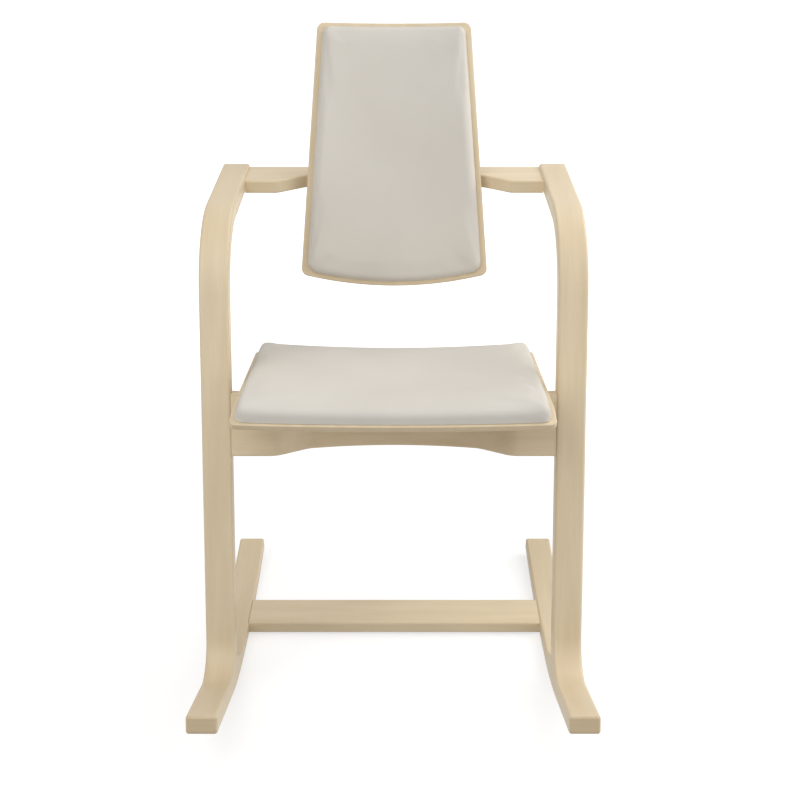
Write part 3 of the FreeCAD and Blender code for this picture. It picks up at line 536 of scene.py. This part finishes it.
def grained(name, dark, light, metallic, roughness, grain, depth):
    """A plain finish with a fine grain in its colour, gloss and surface."""
    material, tree, shader = new_material(name)
    place = [field * grain for field in position(tree)]
    speckle = noise(tree, place, detail=3.0, roughness=0.6)
    colour = colour_mix(spread(speckle, *speckle_range), linear(dark), linear(light))
    tree.links.new(colour, shader.inputs["Base Color"])
    give(tree, speckle * speckle_gloss + (roughness - speckle_gloss / 2), shader.inputs["Roughness"])
    shader.inputs["Metallic"].default_value = metallic
    bumped(speckle, depth, speckle_bump, shader)
    return material


# Pads

def seat_skin(across, along, share):
    """A point of the seat pad: on its board where the share is 0 and on its dished top where it is 1."""
    low = pad_room - seat_dish * (1 - (across / seat_half) ** 2)
    high = seat_crown + (seat_side - seat_crown) * (across / seat_half) ** 2 - pad_swell
    height = low + (high - low) * share
    forward = along + (seat_front - seat_front_margin - seat_rear + seat_margin) / 2
    turn = math.degrees(max(forward - lip_start, 0.0) / lip_radius)
    straight = seat_forward * min(forward - lip_start, 0.0)
    outward = seat_forward * sine(turn) + seat_up * cosine(turn)
    return lip_centre + straight + outward * (lip_radius + height) + Vector((across, 0, 0))


def back_skin(across, along, share):
    """A point of the back pad: on its board where the share is 0 and on its crowned front where it is 1."""
    ratio = across / back_pad_half
    level = along / back_pad_reach
    high = back_above - back_top_margin
    low = -back_below + back_low_margin - back_bulge * (1 - ratio ** 2)
    upward = (high + low) / 2 + (high - low) / 2 * level
    x = ratio * (back_half(upward) - back_margin)
    thick = back_crown + (back_side - back_crown) * level ** 2 - pad_swell
    ahead = hollow - math.sqrt(back_hollow_radius ** 2 - x ** 2) + pad_room + (thick - pad_room) * share
    return back_middle + back_up * upward + back_forward * ahead + Vector((x, 0, 0))


seat_pad_half = seat_half - seat_margin
seat_pad_reach = (seat_front - seat_front_margin + seat_rear - seat_margin) / 2
back_pad_half = back_half(0) - back_margin
back_pad_reach = (back_above + back_below - back_top_margin - back_low_margin) / 2


def pad_steps(half):
    """Places from one edge of a pad to the other, closer where the edge rolls over."""
    turns = [90 * step / roll_steps for step in range(roll_steps + 1)]
    roll = [half - pad_roll * (1 - cosine(turn) ** (2 / pad_fullness)) for turn in turns]
    inner = 2 * (half - pad_roll)
    count = round(inner / pad_face)
    middle = [inner * step / count - inner / 2 for step in range(1, count)]
    return [-place for place in roll] + middle + roll[::-1]


def rounded(across, along, half_width, half_length):
    """A place on a rectangle whose corners are drawn round, and its share of the pad's full height."""
    x = max(abs(across) - half_width + pad_roll, 0.0) / pad_roll
    y = max(abs(along) - half_length + pad_roll, 0.0) / pad_roll
    drawn_x = x * math.sqrt(1 - y * y / 2)
    drawn_y = y * math.sqrt(1 - x * x / 2)
    edge = min(math.hypot(drawn_x, drawn_y), 1.0)
    share = (1 - edge ** pad_fullness) ** (1 / pad_fullness)
    return (across - math.copysign(x - drawn_x, across) * pad_roll,
            along - math.copysign(y - drawn_y, along) * pad_roll, share)


def pillow(name, half_width, half_length, skin):
    """A closed pad, its top and underside joined at the rim, and the points that lie on its board."""
    columns = pad_steps(half_width)
    rows = pad_steps(half_length)
    points = []
    number = {}
    for layer, i, j in itertools.product((0, 1), range(len(columns)), range(len(rows))):
        at_rim = i in (0, len(columns) - 1) or j in (0, len(rows) - 1)
        if layer and at_rim:
            number[layer, i, j] = number[0, i, j]
            continue
        across, along, share = rounded(columns[i], rows[j], half_width, half_length)
        number[layer, i, j] = len(points)
        points.append(skin(across, along, 0.0 if layer else share))
    faces = [[number[layer, i + m, j + n] for m, n in ((0, 0), (1, 0), (1, 1), (0, 1))]
             for layer, i, j in itertools.product((0, 1), range(len(columns) - 1), range(len(rows) - 1))]
    mesh = bpy.data.meshes.new(name)
    mesh.from_pydata(points, [], faces)
    face_outward(mesh)
    lying = sorted({index for (layer, i, j), index in number.items() if layer})
    return mesh, lying


def face_outward(mesh):
    work = bmesh.new()
    work.from_mesh(mesh)
    bmesh.ops.recalc_face_normals(work, faces=work.faces)
    work.to_mesh(mesh)
    work.free()


def evaluated_mesh(piece):
    """The mesh of a piece with its modifiers applied."""
    graph = bpy.context.evaluated_depsgraph_get()
    return bpy.data.meshes.new_from_object(piece.evaluated_get(graph))


def swell(piece, lying):
    """Blows a pad up as cloth under pressure, held where it lies on its board, and caps its movement."""
    start = [vertex.co.copy() for vertex in piece.data.vertices]
    held = piece.vertex_groups.new(name="held")
    held.add(lying, 1.0, "REPLACE")
    cloth = piece.modifiers.new("cloth", "CLOTH")
    cloth.settings.vertex_group_mass = held.name
    cloth.settings.effector_weights.gravity = 0.0
    cloth.settings.use_pressure = True
    cloth.settings.uniform_pressure_force = cloth_pressure
    cloth.settings.quality = cloth_quality
    cloth.settings.bending_stiffness = cloth_bending
    cloth.point_cache.frame_start = 1
    cloth.point_cache.frame_end = cloth_frames
    for number in range(1, cloth_frames + 1):
        bpy.context.scene.frame_set(number)
    piece.data = evaluated_mesh(piece)
    piece.modifiers.clear()
    bpy.context.scene.frame_set(1)
    for vertex, first in zip(piece.data.vertices, start):
        moved = vertex.co - first
        if moved.length > pad_swell:
            vertex.co = first + moved.normalized() * pad_swell


def pad(name, form, foam, cover, body, material):
    """A stuffed pad in the room of a foam node and its cover."""
    mesh, lying = pillow(name, *form)
    piece = bpy.data.objects.new(name, mesh)
    bpy.context.scene.collection.objects.link(piece)
    swell(piece, lying)
    piece.data.materials.append(material)
    piece.data.shade_smooth()
    smooth = piece.modifiers.new("smooth", "SUBSURF")
    smooth.levels = 1
    smooth.render_levels = 1
    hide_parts(foam, cover)
    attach(piece, body)


# Floor, light and camera

def white_floor():
    """A floor that shows as white, keeps the chair's shadow and runs on to an even white."""
    bpy.ops.mesh.primitive_plane_add(size=floor_size, location=(0, 0, -floor_drop))
    floor = bpy.context.object
    floor.name = "floor"
    material, tree, shader = new_material("floor_white")
    x, y = position(tree)[:2]
    away = spread(hypotenuse(x, y), shadow_radius, 2 * shadow_radius)
    shader.inputs["Base Color"].default_value = (floor_grey, floor_grey, floor_grey, 1.0)
    shader.inputs["Roughness"].default_value = floor_roughness
    shader.inputs["Specular IOR Level"].default_value = 0.0
    shader.inputs["Emission Color"].default_value = linear(white)
    glow = away * (1.0 - floor_glow) + floor_glow
    give(tree, seen(tree) * glow, shader.inputs["Emission Strength"])
    floor.data.materials.append(material)


def seen(tree):
    """One where a camera, a reflection or a clear body sees the surface, and zero for its light."""
    light_path = tree.nodes.new("ShaderNodeLightPath")
    seen_by = [Field(tree, light_path.outputs[name]) for name in
               ("Is Camera Ray", "Is Glossy Ray", "Is Transmission Ray")]
    return seen_by[0].math("MAXIMUM", seen_by[1]).math("MAXIMUM", seen_by[2])


def white_world():
    """Even light from all round, seen as white."""
    world = bpy.data.worlds.new("studio")
    world.use_nodes = True
    bpy.context.scene.world = world
    background = world.node_tree.nodes["Background"]
    background.inputs["Color"].default_value = linear(white)
    give(world.node_tree, seen(world.node_tree) * (1.0 - sky) + sky, background.inputs["Strength"])


def softbox(name, place, target, size, power):
    lamp = bpy.data.lights.new(name, "AREA")
    lamp.size = size
    lamp.energy = power
    piece = bpy.data.objects.new(name, lamp)
    piece.location = place
    piece.rotation_euler = (Vector(target) - Vector(place)).to_track_quat("-Z", "Y").to_euler()
    bpy.context.scene.collection.objects.link(piece)


def photo_camera():
    lens = bpy.data.cameras.new("camera")
    lens.sensor_width = sensor_width
    lens.lens = focal_pixels / picture_pixels * sensor_width
    camera = bpy.data.objects.new("camera", lens)
    camera.location = camera_place
    camera.rotation_euler = (math.radians(90 - camera_pitch), 0, 0)
    bpy.context.scene.collection.objects.link(camera)
    bpy.context.scene.camera = camera


def finishes():
    """Gives the nodes that stay in view their materials."""
    foot_end = knuckle_length + leg_straight + ankle_length + foot_straight
    strip = wood("strip_wood", strip_path, strip_ply, ends=(-arm_straight, foot_end))
    runner = wood("runner_wood", runner_path, strip_ply)
    rail = wood("rail_wood", across_path)
    back_rail = wood("back_rail_wood", back_rail_path)
    stretcher = wood("stretcher_wood", stretcher_path)
    seat = wood("seat_ply", seat_path, thin_ply, crossed_shade)
    back = wood("back_ply", back_path, thin_ply, crossed_shade)
    coat = grained("black_coat", dark=(24, 24, 26), light=(40, 40, 42), metallic=0.0, roughness=0.5,
                   grain=900.0, depth=0.00008)
    zinc = grained("zinc_steel", dark=(150, 150, 152), light=(192, 192, 194), metallic=1.0, roughness=0.35,
                   grain=1400.0, depth=0.00003)
    rubber = grained("bush_rubber", dark=(16, 16, 16), light=(30, 30, 30), metallic=0.0, roughness=0.75,
                     grain=1200.0, depth=0.00006)
    by_slot = {"frame_wood": rail, "board_ply": rail, "fitting_steel": coat, "fastener_steel": zinc,
               "bush_rubber": rubber}
    by_node = {"left_side_frame": strip, "right_side_frame": strip, "left_rear_runner": runner,
               "right_rear_runner": runner, "back_rail": back_rail, "floor_stretcher": stretcher,
               "seat_board": seat, "seat_pad_panel": seat, "back_board": back, "back_pad_panel": back}
    for entry in record["subparts"]:
        material = by_node.get(entry["node"], by_slot.get(entry["material_slot"]))
        if material:
            nodes[entry["node"]].material_slots[0].material = material


bpy.context.scene.view_settings.view_transform = "Standard"
photo_camera()
white_world()
white_floor()
for lamp_name, lamp_values in lamps.items():
    softbox(lamp_name, **lamp_values)
finishes()
seat_form = (seat_pad_half, seat_pad_reach, seat_skin)
seat_weave = fabric("seat_weave", seat_depth)
pad("seat_pad", seat_form, "seat_foam", "seat_cover", "frame", seat_weave)
back_form = (back_pad_half, back_pad_reach, back_skin)
back_weave = fabric("back_weave", back_depth)
pad("back_pad", back_form, "back_foam", "back_cover", "backrest", back_weave)
